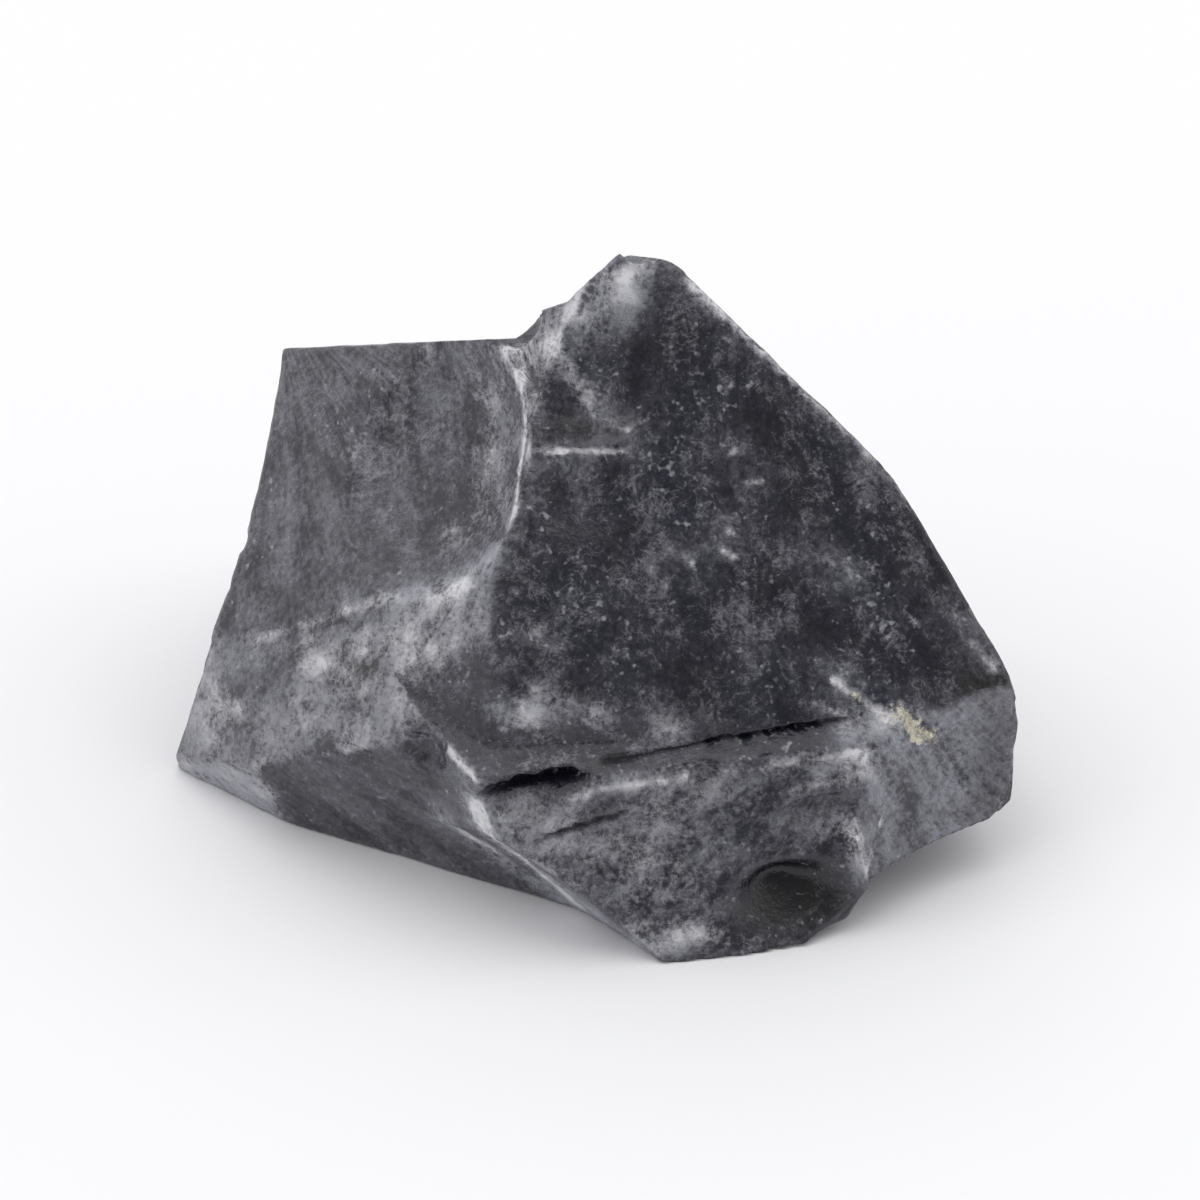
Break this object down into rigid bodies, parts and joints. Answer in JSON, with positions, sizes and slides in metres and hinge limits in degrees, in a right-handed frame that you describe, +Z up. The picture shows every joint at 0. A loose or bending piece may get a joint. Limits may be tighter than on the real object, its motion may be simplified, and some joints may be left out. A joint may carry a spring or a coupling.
{
  "type": "obsidian chunk",
  "caption": "Rough broken chunk of black obsidian with a large flat glassy face, hollow shell-shaped scars and sharp crushed edges, resting on a flat break.",
  "frame": {"origin": "middle of the bounding box at its bottom, on the flat break that the chunk rests on", "axes": "+Z up; -Y towards the side with the large dark face; X along the chunk's length, with the pointed nose at +X and the low lobe at -X"},
  "size_m": [0.06, 0.05, 0.0424],
  "materials": {
    "obsidian": "Near-black volcanic glass with a faint blue cast: smooth and glossy where it parted cleanly, frosted light grey along crushed edges, with fine white specks of glass dust."
  },
  "bodies": {
    "root": {"obsidian_chunk": "obsidian"}
  },
  "joints": []
}
